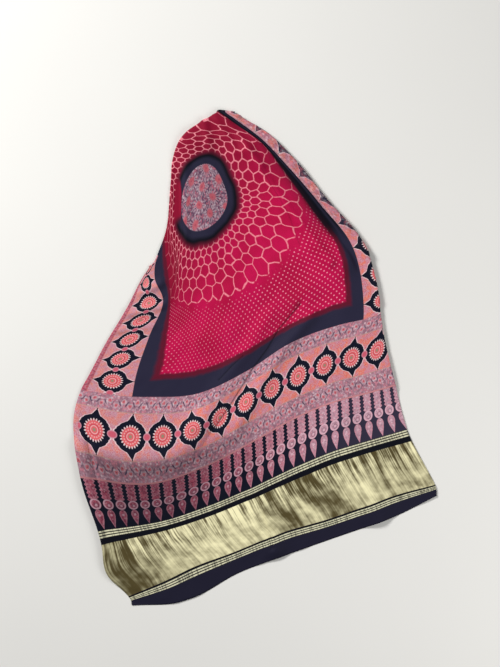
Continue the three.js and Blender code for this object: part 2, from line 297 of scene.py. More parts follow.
def upper_height(lines, across, along, x, y, crumple):
    """The upper layer's height: a layer's step for the far half below it, one or two more for the flaps of
    the turned border, then the soft folds and the crumples, never below the flat cloth."""
    inward = np.hypot(x - lines.x[:, EDGE_PLACE], y - lines.y[:, EDGE_PLACE])
    flap = RIGHT - lines.edge
    far = above_far_half(across, along)
    border = 1 - smooth_step(flap + BORDER_REST[0], flap + BORDER_REST[1], inward)
    relief = fold_height(x, y) + crumple_height(across, cloth_length(across, along), crumple)
    return FLOOR_LAYER + LAYER_STEP * (far + (1 + far) * border) + np.maximum(relief, 0)


def flap_points(lines, edge_height, flap_height):
    """The turned border: half a round bend, then straight back, for a run of lengths from the edge.

    Past the edge the sheet runs out by radius * sin(length / radius) and down by radius * (1 - cos(...)),
    until half a turn; then it runs straight back at twice the radius below.
    """
    edge_x, edge_y = lines.x[:, EDGE_PLACE], lines.y[:, EDGE_PLACE]
    out_x, out_y = edge_x - lines.x[:, 5], edge_y - lines.y[:, 5]
    reach = np.hypot(out_x, out_y)
    flap = RIGHT - lines.edge
    radius = np.abs(edge_height - flap_height) / 2
    bend = np.minimum(np.pi * radius, FLAP_BEND_SHARE * flap)
    shares = np.arange(1, BEND_PIECES + 1) / BEND_PIECES
    rest = np.arange(1, FLAP_PIECES + 1) / FLAP_PIECES
    straight = bend[:, None] + (flap - bend)[:, None] * rest
    length = np.hstack((bend[:, None] * shares, straight))
    angle = length / radius[:, None]
    turning = angle < np.pi
    turned = np.minimum(angle, np.pi)
    out = np.where(turning, radius[:, None] * np.sin(turned), np.pi * radius[:, None] - length)
    down = radius[:, None] * (1 - np.cos(turned))
    z = edge_height[:, None] + np.sign(flap_height - edge_height)[:, None] * down
    x = edge_x[:, None] + (out_x / reach)[:, None] * out
    y = edge_y[:, None] + (out_y / reach)[:, None] * out
    return np.stack((x, y, z), axis=2), lines.edge[:, None] + length


def column_steps():
    """The steps across, from 0 to 8, of the grid's columns up to the turned edge."""
    parts = (place + np.arange(1, pieces + 1) / pieces for place, pieces in enumerate(PIECES_ACROSS))
    return np.concatenate((np.zeros(1), *parts))


def upper_layer(crumple):
    """Sections of the upper layer from the near hem to the shoulder fold, and their flat-cloth numbers."""
    steps = column_steps()
    along = np.linspace(0, FOLD_STATION, UPPER_ROWS + 1)
    rows, columns = len(along), len(steps)
    all_along = np.repeat(along, columns)
    row_lines, lines = CrossLines(along), CrossLines(all_along)
    across = lines.across_at(np.tile(steps, rows))
    x, y = lines.place_of(across)
    z = upper_height(lines, across, all_along, x, y, crumple)
    points = np.stack((x, y, z), axis=1).reshape(rows, columns, 3)
    below = FLOOR_LAYER + 2 * LAYER_STEP * above_far_half(row_lines.edge, along)
    flap, flap_across = flap_points(row_lines, points[:, -1, 2], below)
    points = np.hstack((points, flap))
    across = np.hstack((across.reshape(rows, columns), flap_across))
    length = cloth_length(across.ravel(), np.repeat(along, across.shape[1])).reshape(across.shape)
    return points, across, length


def under_layer():
    """Sections of the far half, flat on the floor under the upper layer, from the fold to the far hem."""
    steps = column_steps()
    shares = np.linspace(0, 1, UNDER_ROWS + 1)
    rows, columns = len(shares), len(steps)
    fold_lines = CrossLines(np.full(columns, FOLD_STATION))
    hem = np.tile(far_hem_under(fold_lines.across_at(steps)), rows)
    along = FOLD_STATION + (hem - FOLD_STATION) * np.repeat(shares, columns)
    lines = CrossLines(along)
    across = lines.across_at(np.tile(steps, rows))
    x, y = lines.place_of(across)
    points = np.stack((x, y, np.full_like(x, FLOOR_LAYER)), axis=1).reshape(rows, columns, 3)
    edge_along = along.reshape(rows, columns)[:, -1]
    level = np.full(rows, FLOOR_LAYER)
    flap, flap_across = flap_points(CrossLines(edge_along), level, level + LAYER_STEP)
    points = np.hstack((points, flap))
    across = np.hstack((across.reshape(rows, columns), flap_across))
    flap_along = np.repeat(edge_along[:, None], flap.shape[1], 1)
    along = np.hstack((along.reshape(rows, columns), flap_along))
    length = 2 * shoulder_fold(across.ravel()) - cloth_length(across.ravel(), along.ravel())
    return points, across, length.reshape(across.shape)


def fold_round(upper, under):
    """The round of the shoulder fold: half an ellipse from each column's upper point to its lower one."""
    before = np.concatenate((upper[:1], upper[:-1]))
    after = np.concatenate((upper[1:], upper[-1:]))
    away = np.stack((before[:, 1] - after[:, 1], after[:, 0] - before[:, 0]), axis=1)
    away /= np.linalg.norm(away, axis=1, keepdims=True)
    last = len(upper) - BEND_PIECES - FLAP_PIECES - 2
    away[last:] = away[last]
    angle = (np.pi * np.arange(1, FOLD_PIECES) / FOLD_PIECES)[:, None, None]
    share = (1 - np.cos(angle)) / 2
    points = upper + (under - upper) * share
    reach = np.sin(angle[..., 0]) * np.abs(upper[:, 2] - under[:, 2]) / 2
    points[..., 0] += away[:, 0] * reach
    points[..., 1] += away[:, 1] * reach
    return points


def cloth_grid(crumple):
    """The whole cloth as one grid of points, from the near hem over the shoulder fold to the far hem."""
    upper, upper_across, upper_length = upper_layer(crumple)
    under, under_across, under_length = under_layer()
    bend = fold_round(upper[-1], under[0])
    bend_across = np.repeat(upper_across[-1:], len(bend), axis=0)
    share = (np.arange(1, FOLD_PIECES) / FOLD_PIECES)[:, None]
    bend_length = upper_length[-1] + (under_length[0] - upper_length[-1]) * share
    points = np.concatenate((upper, bend, under))
    across = np.concatenate((upper_across, bend_across, under_across))
    length = np.concatenate((upper_length, bend_length, under_length))
    return points, across, length


def grid_normals(points):
    """The upward side of each point of a grid: its run across times its run along."""
    run_across = np.gradient(points, axis=1)
    run_along = np.gradient(points, axis=0)
    normals = np.cross(run_across, run_along)
    return normals / np.linalg.norm(normals, axis=2, keepdims=True)


def sheet_faces(rows, columns):
    """Quads of a closed sheet: its face side, its back side and the rim that joins them."""
    face = np.arange(rows * columns).reshape(rows, columns)
    back = face + rows * columns

    def quads(a, b, c, d):
        return np.stack((a, b, c, d), axis=-1).reshape(-1, 4)

    return np.concatenate(
        (
            quads(face[:-1, :-1], face[:-1, 1:], face[1:, 1:], face[1:, :-1]),
            quads(back[:-1, :-1], back[1:, :-1], back[1:, 1:], back[:-1, 1:]),
            quads(face[:-1, 0], face[1:, 0], back[1:, 0], back[:-1, 0]),
            quads(face[1:, -1], face[:-1, -1], back[:-1, -1], back[1:, -1]),
            quads(face[0, 1:], face[0, :-1], back[0, :-1], back[0, 1:]),
            quads(face[-1, :-1], face[-1, 1:], back[-1, 1:], back[-1, :-1]),
        )
    )


def cloth_mesh(name, thickness, crumple):
    """A closed sheet of even thickness about the cloth's grid, with the flat-cloth numbers as its UV map."""
    points, across, length = cloth_grid(crumple)
    normals = grid_normals(points)
    lift = thickness / 2 - FLOOR_LAYER
    middle = points + np.array((-CENTRE[0], -CENTRE[1], lift))
    half = normals * thickness / 2
    sides = np.concatenate((middle + half, middle - half)).reshape(-1, 3)
    sides[:, 2] = np.maximum(sides[:, 2], 0)
    rows, columns = points.shape[:2]
    faces = sheet_faces(rows, columns)
    mesh = bpy.data.meshes.new(name)
    mesh.from_pydata((sides * MM).tolist(), [], faces.tolist())
    mesh.polygons.foreach_set("use_smooth", np.ones(len(faces), bool))
    flat = np.stack((across.ravel(), length.ravel()), axis=1) * MM
    corners = faces.ravel() % (rows * columns)
    uv_map = mesh.uv_layers.new(name=CLOTH_MAP)
    uv_map.data.foreach_set("uv", flat[corners].ravel())
    mesh.update()
    return mesh


class Board:
    """A material's node board: one method adds any node, and the rest are short ways to common ones."""

    def __init__(self, material):
        material.use_nodes = True
        self.tree = material.node_tree
        self.tree.nodes.clear()

    def node(self, kind, settings=(), **sockets):
        """Adds a node of this type, sets its settings first, then links or fills its sockets.

        A socket's name is given with underscores for spaces, or as in_ and its number.
        """
        made = self.tree.nodes.new(kind)
        for name, value in dict(settings).items():
            setattr(made, name, value)
        for name, value in sockets.items():
            if name.startswith("in_"):
                socket = made.inputs[int(name[3:])]
            else:
                socket = made.inputs[name.replace("_", " ")]
            self.feed(socket, value)
        return made

    def feed(self, socket, value):
        if isinstance(value, (Value, Colour)):
            value = value.socket
        if isinstance(value, bpy.types.NodeSocket):
            self.tree.links.new(value, socket)
        elif value is not None:
            socket.default_value = value

    def math(self, operation, *values):
        sockets = {f"in_{i}": value for i, value in enumerate(values)}
        made = self.node("ShaderNodeMath", {"operation": operation}, **sockets)
        return Value(self, made.outputs[0])

    def mix(self, factor, first, second):
        """A colour that goes from the first to the second as the factor goes from 0 to 1."""
        settings = {"data_type": "RGBA", "clamp_factor": True}
        made = self.node("ShaderNodeMix", settings, in_0=factor, in_6=first, in_7=second)
        return Colour(self, made.outputs[2])

    def noise(self, vector, scale, detail=2.0, rough=0.5):
        """Noise from 0 to 1 about 0.5, of this many cells to a unit of the vector."""
        sockets = {"Vector": vector, "Scale": scale, "Detail": detail, "Roughness": rough}
        made = self.node("ShaderNodeTexNoise", **sockets)
        return Value(self, made.outputs[0])

    def vector(self, x, y, z=0.0):
        return self.node("ShaderNodeCombineXYZ", X=x, Y=y, Z=z).outputs[0]

    def grain(self, x, y, z=0.0, detail=1.0, rough=0.5):
        """Noise from 0 to 1 with one cell to a unit of each number."""
        return self.noise(self.vector(x, y, z), 1.0, detail, rough)

    def cells(self, feature, x, y):
        """A net of irregular cells, one to a unit of each number."""
        return self.node("ShaderNodeTexVoronoi", {"feature": feature}, Vector=self.vector(x, y), Scale=1.0)


class Colour:
    """A colour in a material, over which others are laid."""

    def __init__(self, board, socket):
        self.board = board
        self.socket = socket

    def lay(self, mask, other):
        """Lays another colour over this one where the mask is 1."""
        self.socket = self.board.mix(mask, self, other).socket
        return self


def operation(name, swapped=False):
    """A method that adds the Math node of this name, the numbers swapped where they are written so."""

    def method(self, *others):
        return self.board.math(name, *((*others, self) if swapped else (self, *others)))

    return method


class Value:
    """A number in a material: sums, products and the like on it add their Math nodes."""

    def __init__(self, board, socket):
        self.board = board
        self.socket = socket

    __add__ = __radd__ = operation("ADD")
    __sub__ = operation("SUBTRACT")
    __rsub__ = operation("SUBTRACT", swapped=True)
    __mul__ = __rmul__ = operation("MULTIPLY")
    __truediv__ = operation("DIVIDE")
    __abs__ = operation("ABSOLUTE")
    sin = operation("SINE")
    cos = operation("COSINE")
    sqrt = operation("SQRT")
    least = operation("MINIMUM")
    most = operation("MAXIMUM")
    over = operation("GREATER_THAN")

    def wrap(self, period):
        """The distance from the nearest whole multiple of the period, from minus half of it to half."""
        return self.board.math("WRAP", self, period / 2, -period / 2)

    def length(self, other):
        return (self * self + other * other).sqrt()

    def rise(self, low, high):
        """0 at low and 1 at high, with a smooth step between them; high may lie below low."""
        made = self.board.node(
            "ShaderNodeMapRange",
            {"interpolation_type": "SMOOTHSTEP"},
            Value=self,
            From_Min=low,
            From_Max=high,
        )
        return Value(self.board, made.outputs[0])

    def below(self, limit, soft):
        """1 below the limit and 0 above it, soft by this much to either side."""
        return self.rise(limit + soft, limit - soft)

    def between(self, low, high, soft=1.0):
        """1 between the two and 0 outside, with soft edges of this width."""
        return self.rise(low - soft / 2, low + soft / 2) * self.below(high, soft / 2)


def rgb(code):
    """A colour code of six hexadecimal digits as linear red, green, blue and alpha."""
    parts = np.array([int(code[i : i + 2], 16) for i in (0, 2, 4)]) / 255
    linear = np.where(parts <= 0.04045, parts / 12.92, ((parts + 0.055) / 1.055) ** 2.4)
    return (*linear.tolist(), 1.0)


# The design in the flat cloth, in millimetres from the near hem. The far end mirrors it.
DISC_ACROSS = -12.0
DISC_ALONG = 1210.0
DISC_PRINT = 101.0
DISC_RING = 127.0
NET_START = 146.0
NET_CELLS_ROUND = 42
NET_STRETCH = 0.86
NET_ROWS = 5.4
FIELD_SIDE = 343.0
BAND_SIDE = 400.0
STRIP_SIDE = (400.0, 533.0)
END_STRIP = 51.0
GOLD_START = 78.0
GOLD_END = 221.0
UPPER_STRIPES_START = 236.0
UPPER_STRIPES_END = 258.0
SPIRES_END = 403.0
LINE_END = 411.0
SECOND_GUARD_END = 466.0
MEDALLIONS_END = 587.0
FIRST_GUARD_END = 635.0
NAVY_END = 709.0
LOZENGE_HIGH = 57.0
LOZENGE_WIDE = 43.0
END_PITCH = 96.0
END_FIRST = -480.0
SIDE_PITCH = 94.2
SIDE_FIRST = 687.0
LOZENGE_PITCH = 95.0
SIDE_GUARD = 542.0
SPIRE_PITCH = 39.6
SPIRE_FIRST = -527.5
BULB = {"middle": 334.0, "radius": 16.4}
BEAD = {"middle": 300.0, "radius": 12.6}
STRIPE_COUNT = 3
STRIPE_PITCH = 7.3
STRIPE_WIDE = 3.7
DOT_PITCH = (17.0, 20.0)
BLOSSOM_PITCH = (74.0, 88.0)


def field_colour(board, paint, across, along):
    """The tie-dyed field: crimson with rows of dots, the net about the disc, the ring and its print.

    The net is a honeycomb laid over the logarithm of the distance from the disc's middle and the turn about
    it, so its cells grow outwards, and it ends in open points.
    """
    tone = board.noise(board.vector(across / 100.0, along / 100.0), 0.9, 3.0)
    crimson = board.mix(tone.rise(0.3, 0.7), paint.crimson, paint.crimson_bright)
    # Painted shade: the field darkens towards the neck at the top, where the cloth turns from the light
    crimson.lay((along - across * 0.5).rise(930, 1300) * 0.95, paint.crimson_deep)
    thread = board.grain(across / 3.0, along / 24.0, detail=2.0)
    crimson.lay(thread.rise(0.5, 0.8) * 0.35, paint.crimson_deep)

    fine = board.grain(across / 4.2, along / 4.2)
    first = across.wrap(DOT_PITCH[0]).length(along.wrap(DOT_PITCH[1]))
    between = (across - DOT_PITCH[0] / 2).wrap(DOT_PITCH[0]), (along - DOT_PITCH[1] / 2).wrap(DOT_PITCH[1])
    second = between[0].length(between[1])
    dots = first.least(second).rise(2.9, 1.3) * fine.rise(0.2, 0.5)

    wobble = board.grain(across / 60.0, along / 60.0) - 0.5
    wobble_two = board.grain(along / 60.0, across / 60.0, 3.0) - 0.5
    jog = board.grain(across / 19.0, along / 19.0, 5.0) - 0.5
    jog_two = board.grain(along / 19.0, across / 19.0, 8.0) - 0.5
    from_disc = across - DISC_ACROSS
    up = along - DISC_ALONG
    radius = (from_disc * 0.95).length(up * 1.04)
    angle = board.math("ARCTAN2", from_disc, up)
    turns = NET_CELLS_ROUND / (2 * np.pi)
    net_x = angle * turns + wobble * 0.6 + jog * 0.12
    outward = board.math("LOGARITHM", radius / NET_START, float(np.e)) * (turns * NET_STRETCH)
    net_y = outward + wobble_two * 0.6 + jog_two * 0.12
    height = float(np.sqrt(3))

    def cell_reach(x, y):
        """0 in the middle of a cell and 0.5 on its six sides."""
        return abs(x).most(abs(x) * 0.5 + abs(y) * (height / 2))

    here = cell_reach(net_x.wrap(1.0), net_y.wrap(height))
    there = cell_reach((net_x - 0.5).wrap(1.0), (net_y - height / 2).wrap(height))
    to_line = (0.5 - here.least(there)) * radius / turns
    rows_out = along.rise(1340, 1420) * 2.0 + height / 2 * NET_ROWS
    tips = abs(net_x.wrap(1.0)) * -0.577 + rows_out + 0.45
    in_net = net_y.rise(-0.25, 0.05) * (tips - net_y).rise(-0.05, 0.05)
    net = (to_line + (fine - 0.5) * 2.0).rise(2.5, 0.9) * in_net
    net = net * (0.55 + fine.rise(0.35, 0.6) * 0.45) * (0.35 + across.rise(-330, -220) * 0.65)
    dotted = (net_y - tips).rise(0.05, 0.3)
    colour = board.mix(dots * dotted * (0.5 + across.rise(-150, 200) * 0.3), crimson, paint.dot_pink)
    colour.lay(net * 0.92, paint.net_pink)

    ring_edge = radius + wobble * 14.0
    leftward = up * 0.49 - from_disc * 0.87
    tucked = leftward.rise(97, 108) * abs(from_disc * 0.49 + up * 0.87 - 17.0).rise(86, 46)
    shown = 1 - tucked
    colour.lay(ring_edge.rise(DISC_RING + 34, DISC_RING + 14) * shown, paint.maroon)
    colour.lay(ring_edge.rise(DISC_RING + 20, DISC_RING + 4) * shown, paint.night)
    colour.lay(ring_edge.rise(DISC_RING + 6, DISC_RING - 10) * shown * 0.9, paint.navy)
    shifted = across + wobble * 30.0
    print_colour = disc_print(board, paint, shifted, along, jog)
    print_colour.lay(0.16, paint.rose)
    print_colour.lay(0.33, paint.ink_soft)
    return colour.lay(radius.below(DISC_PRINT, 1.5) * shown, print_colour)


def disc_print(board, paint, across, along, jog):
    """The disc's print: blurred coral blossoms, each in a burst of pale strokes, on a small busy print."""
    ground = busy_print(board, paint, across, along)
    wide, high = BLOSSOM_PITCH
    one = (across.wrap(wide), (along - 6.0).wrap(high))
    two = ((across - wide / 2).wrap(wide), (along - (high / 2 + 6.0)).wrap(high))
    one_out, two_out = one[0].length(one[1]), two[0].length(two[1])
    one_near = two_out.over(one_out)
    side = two[0] + one_near * (one[0] - two[0])
    rise = two[1] + one_near * (one[1] - two[1])
    out = side.length(rise) + jog * 9.0
    strokes = (board.math("ARCTAN2", rise, side) * 15.0).cos().rise(-0.1, 0.5)
    colour = board.mix(out.between(12, 27, 5.0) * strokes * 0.55, ground, paint.petal_grey)
    colour.lay(out.rise(17, 9) * 0.85, paint.coral)
    return colour.lay(out.rise(5, 2) * 0.6, paint.red)


def busy_print(board, paint, across, along, cell=6.2):
    """A close print of small leaves and blossoms: cells a few millimetres wide in four colours."""
    cells = board.cells("F1", across / cell, along / cell)
    pick = board.node("ShaderNodeSeparateColor", Color=cells.outputs["Color"])
    first, second = Value(board, pick.outputs[0]), Value(board, pick.outputs[1])
    reach = Value(board, cells.outputs["Distance"])
    colour = board.mix(first.rise(0.66, 0.74), paint.lilac, paint.petal_grey)
    colour.lay(second.rise(0.55, 0.62), paint.salmon)
    colour.lay(first.rise(0.30, 0.24), paint.ink_soft)
    return colour.lay(reach.rise(0.36, 0.6) * 0.6, paint.ink_soft)


def guard_colour(board, paint, run, offset, across, along):
    """A guard stripe: blossoms in two staggered rows with soft pale rings and small dark leaves between them,
    on a busy grey-pink ground."""
    ground = board.mix(0.36, busy_print(board, paint, across, along, 6.0), paint.salmon)
    ground.lay(0.12, paint.petal_grey)
    drift = board.grain(across / 30.0, along / 30.0, 2.0) - 0.5
    row = (run * (np.pi / 21.0)).cos()
    blossom = (run + drift * 8.0).wrap(21.0).length(offset - row * 6.5)
    leaf = (run - 10.5 + drift * 6.0).wrap(21.0).length((offset + row * 10.0) * 1.4)
    small = leaf.rise(6.5, 4.0) * (0.5 + drift.rise(-0.2, 0.2) * 0.5)
    colour = board.mix(small, ground, paint.ink_soft)
    colour.lay(blossom.between(5.0, 8.6, 1.6) * 0.34, paint.petal_grey)
    colour.lay(blossom.rise(5.6, 3.8) * 0.7, paint.coral)
    return colour.lay(blossom.rise(2.2, 1.2) * 0.8, paint.ink_soft)


def medallion_colour(board, paint, run, offset, across, along):
    """The medallion strip: dark pointed lozenges with scalloped pale edges, each with a petalled rosette, a
    small disc between neighbours, and lobes of salmon between their points.

    The lozenge's half width is the larger of a round belly's and a straight point's, plus small even bumps.
    """
    cells = board.cells("DISTANCE_TO_EDGE", across / 4.6, along / 4.6)
    vein = Value(board, cells.outputs["Distance"]).rise(0.15, 0.02)
    tone = board.grain(across / 22.0, along / 22.0, detail=2.0)
    speck = board.grain(across / 3.4, along / 3.4, 6.0)
    reach = abs(offset)
    lobe = board.mix(tone.rise(0.42, 0.6), paint.salmon, paint.orange)
    lobe.lay(tone.rise(0.42, 0.3) * 0.45, paint.lilac_pink)
    lobe.lay(across.rise(-100, -380) * 0.25, paint.lilac)
    lobe.lay(vein * 0.38, paint.petal_grey)
    lobe.lay(speck.rise(0.6, 0.72) * 0.5, paint.red)
    lobe.lay(speck.rise(0.36, 0.26) * 0.5, paint.ink_soft)
    belly = (1 - (reach / 41.0) * (reach / 41.0)).most(0.0).sqrt()
    point = ((LOZENGE_HIGH - reach) * 0.0135).most(0.0).least(0.27)
    wave = abs((reach * (np.pi / 9.0)).sin())
    out = abs(run) - belly.most(point) * LOZENGE_WIDE - wave * 1.8 * reach.rise(LOZENGE_HIGH, 35.0)
    near = reach.rise(60, 56)
    colour = board.mix(out.rise(8.5, 5.5) * near * 0.5, lobe, paint.lilac_pink)
    colour.lay(out.rise(5.2, 3.4) * near * (0.45 + wave * 0.4), paint.petal)
    colour.lay(out.rise(2.2, 0.8), paint.ink)
    between = (LOZENGE_PITCH / 2 - abs(run)).length(offset)
    colour.lay(between.rise(11.0, 9.6), paint.lilac_pink)
    colour.lay(between.rise(8.5, 7.0), paint.rose)
    radius = run.length(offset)
    angle = board.math("ARCTAN2", offset, run)
    spokes = (angle * 22.0).cos()
    colour.lay(radius.rise(29.0, 27.0) * 0.45, paint.coral)
    petals = radius.between(24.0, 30.8, 1.2) * (spokes + (28.5 - radius) * 0.12).rise(0.0, 0.5)
    colour.lay(petals * 0.85, paint.petal)
    colour.lay(radius.rise(25.4, 24.0), paint.coral)
    beads = (angle * 16.0).cos().rise(-0.5, 0.3)
    colour.lay(radius.between(17.0, 20.5, 1.2) * beads * 0.45, paint.petal)
    colour.lay(radius.between(12.5, 15.0, 1.2) * 0.5, paint.red)
    colour.lay(radius.between(9.0, 11.5, 1.2) * 0.5, paint.petal)
    return colour.lay(radius.rise(6.0, 4.0) * 0.8, paint.leaf_grey)


def spire_colour(board, paint, run, height, across, along):
    """The row of hanging spires on dark ground: a notched column, a round bulb, a smaller bead and a tapering
    tip.

    The half width is the largest of the column's, the two circles' and the tip's straight taper.
    """
    column = height.rise(344, 352) * (13.4 + (height * (2 * np.pi / 11.0)).sin() * 2.0)
    up = height - BULB["middle"]
    bulb = (BULB["radius"] ** 2 - up * up).most(0.0).sqrt()
    down = height - BEAD["middle"]
    bead = (BEAD["radius"] ** 2 - down * down * 0.55).most(0.0).sqrt()
    tip = ((height - UPPER_STRIPES_END) * 0.36).most(0.0).least(10.5) * height.rise(318, 310)
    inside = column.most(bulb).most(bead).most(tip) - abs(run)
    tone = board.grain(across / 13.0, along / 13.0, detail=2.0)
    body = board.mix(tone.rise(0.36, 0.56), paint.red, paint.rose)
    # Painted light: the spires' bodies are paler towards the right, where the light falls
    body.lay(across.rise(-150, 350) * 0.75, paint.lilac_pale)
    body.lay(0.42, busy_print(board, paint, across, along, 4.6))
    round_bulb = run.length(up)
    colour = board.mix(inside.rise(4.2, 2.2) * tone.rise(0.2, 0.5) * 0.75, body, paint.lilac_pink)
    colour.lay(round_bulb.between(11.8, 15.8, 1.8) * 0.75, paint.lilac_pale)
    eye = (run - 1.5).length(up + 3.0)
    colour.lay(eye.between(5.2, 7.6, 1.8) * 0.45, paint.ink_soft)
    colour.lay(eye.rise(4.6, 3.0) * 0.7, paint.lilac_pale)
    colour.lay(run.length(down).rise(4.6, 3.2) * 0.7, paint.lilac_pale)
    # Painted light: the dark ground between the spires is lighter towards the right
    dark = board.mix(across.rise(60, 420) * 0.45, paint.ink, paint.ink_soft)
    colour.lay(inside.rise(0.8, -0.4), dark)
    # Painted shade towards the left, where the cloth turns from the light, less at the very selvage
    left = across.rise(150, -300) * (1 - across.rise(-470, -530) * 0.6)
    return colour.lay(left * 0.6, paint.night)


def stripes(height, start):
    """Woven pale stripes: 1 on each of a few, from start upwards."""
    line = abs((height - start - STRIPE_PITCH / 2).wrap(STRIPE_PITCH))
    line = line.rise(STRIPE_WIDE / 2 + 0.9, STRIPE_WIDE / 2 - 0.5)
    return line * height.between(start, start + STRIPE_COUNT * STRIPE_PITCH, 0.4)


def crease_depth(board):
    """How deep the sharp creases are at a place: e to the power of minus the distance over the half width,
    times the depth, summed over the creases."""
    place = board.node("ShaderNodeSeparateXYZ", Vector=board.node("ShaderNodeTexCoord").outputs["Object"])
    x = Value(board, place.outputs[0]) * 1000.0 + CENTRE[0]
    y = Value(board, place.outputs[1]) * 1000.0 + CENTRE[1]
    total = 0.0
    for depth, wide, path in CREASES:
        least = None
        for (from_x, from_y), (to_x, to_y) in zip(path, path[1:]):
            run_x, run_y = to_x - from_x, to_y - from_y
            square = float(run_x * run_x + run_y * run_y)
            share = (((x - from_x) * run_x + (y - from_y) * run_y) / square).most(0.0).least(1.0)
            away = (x - from_x - share * run_x).length(y - from_y - share * run_y)
            least = away if least is None else least.least(away)
        total = board.math("EXPONENT", least / -wide) * depth + total
    return total


def gold_streaks(board, across, along, height):
    """The gold band's light and shade, from about 0 to 1: fine straight pleats, crisp at the upper edge,
    soft crumples, and broad parts turned away from the light, one of them behind a sharp fold."""
    drift = (board.grain(along / 90.0, across / 120.0) - 0.5) * 16.0
    bent = across + drift + (along - 150.0) * 0.06
    crisp = height.rise(120, 205)
    pleats = board.grain(bent / 5.5, along / 170.0, detail=2.0, rough=0.55) - 0.5
    broad = board.grain(bent / 19.0, along / 150.0, 4.0) - 0.5
    crumple = board.grain(bent / 46.0, along / 38.0, 7.0, detail=2.0, rough=0.6) - 0.5
    lean = bent + (along - 150.0) * 0.5
    away = bent.between(-600, -395, 70.0) * 0.3 + bent.between(-538, -462, 12.0) * 0.42
    away = away - bent.between(-270, -12, 40.0) * 0.12 + bent.rise(-15, -9) * bent.rise(40, 28) * 0.3
    away = away + bent.between(34, 84, 14.0) * 0.6 + lean.between(128, 236, 24.0) * 0.62
    away = away + bent.rise(350, 410) * 0.22
    lit = 0.55 - away * 0.72
    return lit + pleats * (0.7 + crisp * 2.0) + broad * (0.9 + crisp * 1.3) + crumple * 1.2


USER_DYES = ("crimson", "crimson_bright", "navy", "salmon", "gold_light")
# crimson_deep, night and maroon are also laid as painted shade, and gold_deep is the gold band in painted
# shade
FIXED_DYES = {
    "crimson_deep": "7C0C28",
    "dot_pink": "F09AAE",
    "net_pink": "E58C96",
    "maroon": "581226",
    "ink": "0E1120",
    "ink_soft": "443C50",
    "coral": "CC5A5E",
    "orange": "CF6450",
    "red": "9C2A40",
    "rose": "BA5264",
    "lilac": "9A8794",
    "lilac_pink": "BA7E8C",
    "lilac_pale": "D0A8B4",
    "petal": "DCC6C6",
    "petal_grey": "C4B4BA",
    "leaf_grey": "7C8069",
    "line_grey": "B08A80",
    "gold_deep": "4E4428",
    "stripe": "D0CCAC",
    "night": "0A0B14",
}


class Paint:
    """The dyes and threads, as colours for the sockets; some are also laid as painted light and shade."""

    def __init__(self, dyes):
        for name in USER_DYES:
            setattr(self, name, tuple(getattr(dyes, name)))
        for name, code in FIXED_DYES.items():
            setattr(self, name, rgb(code))


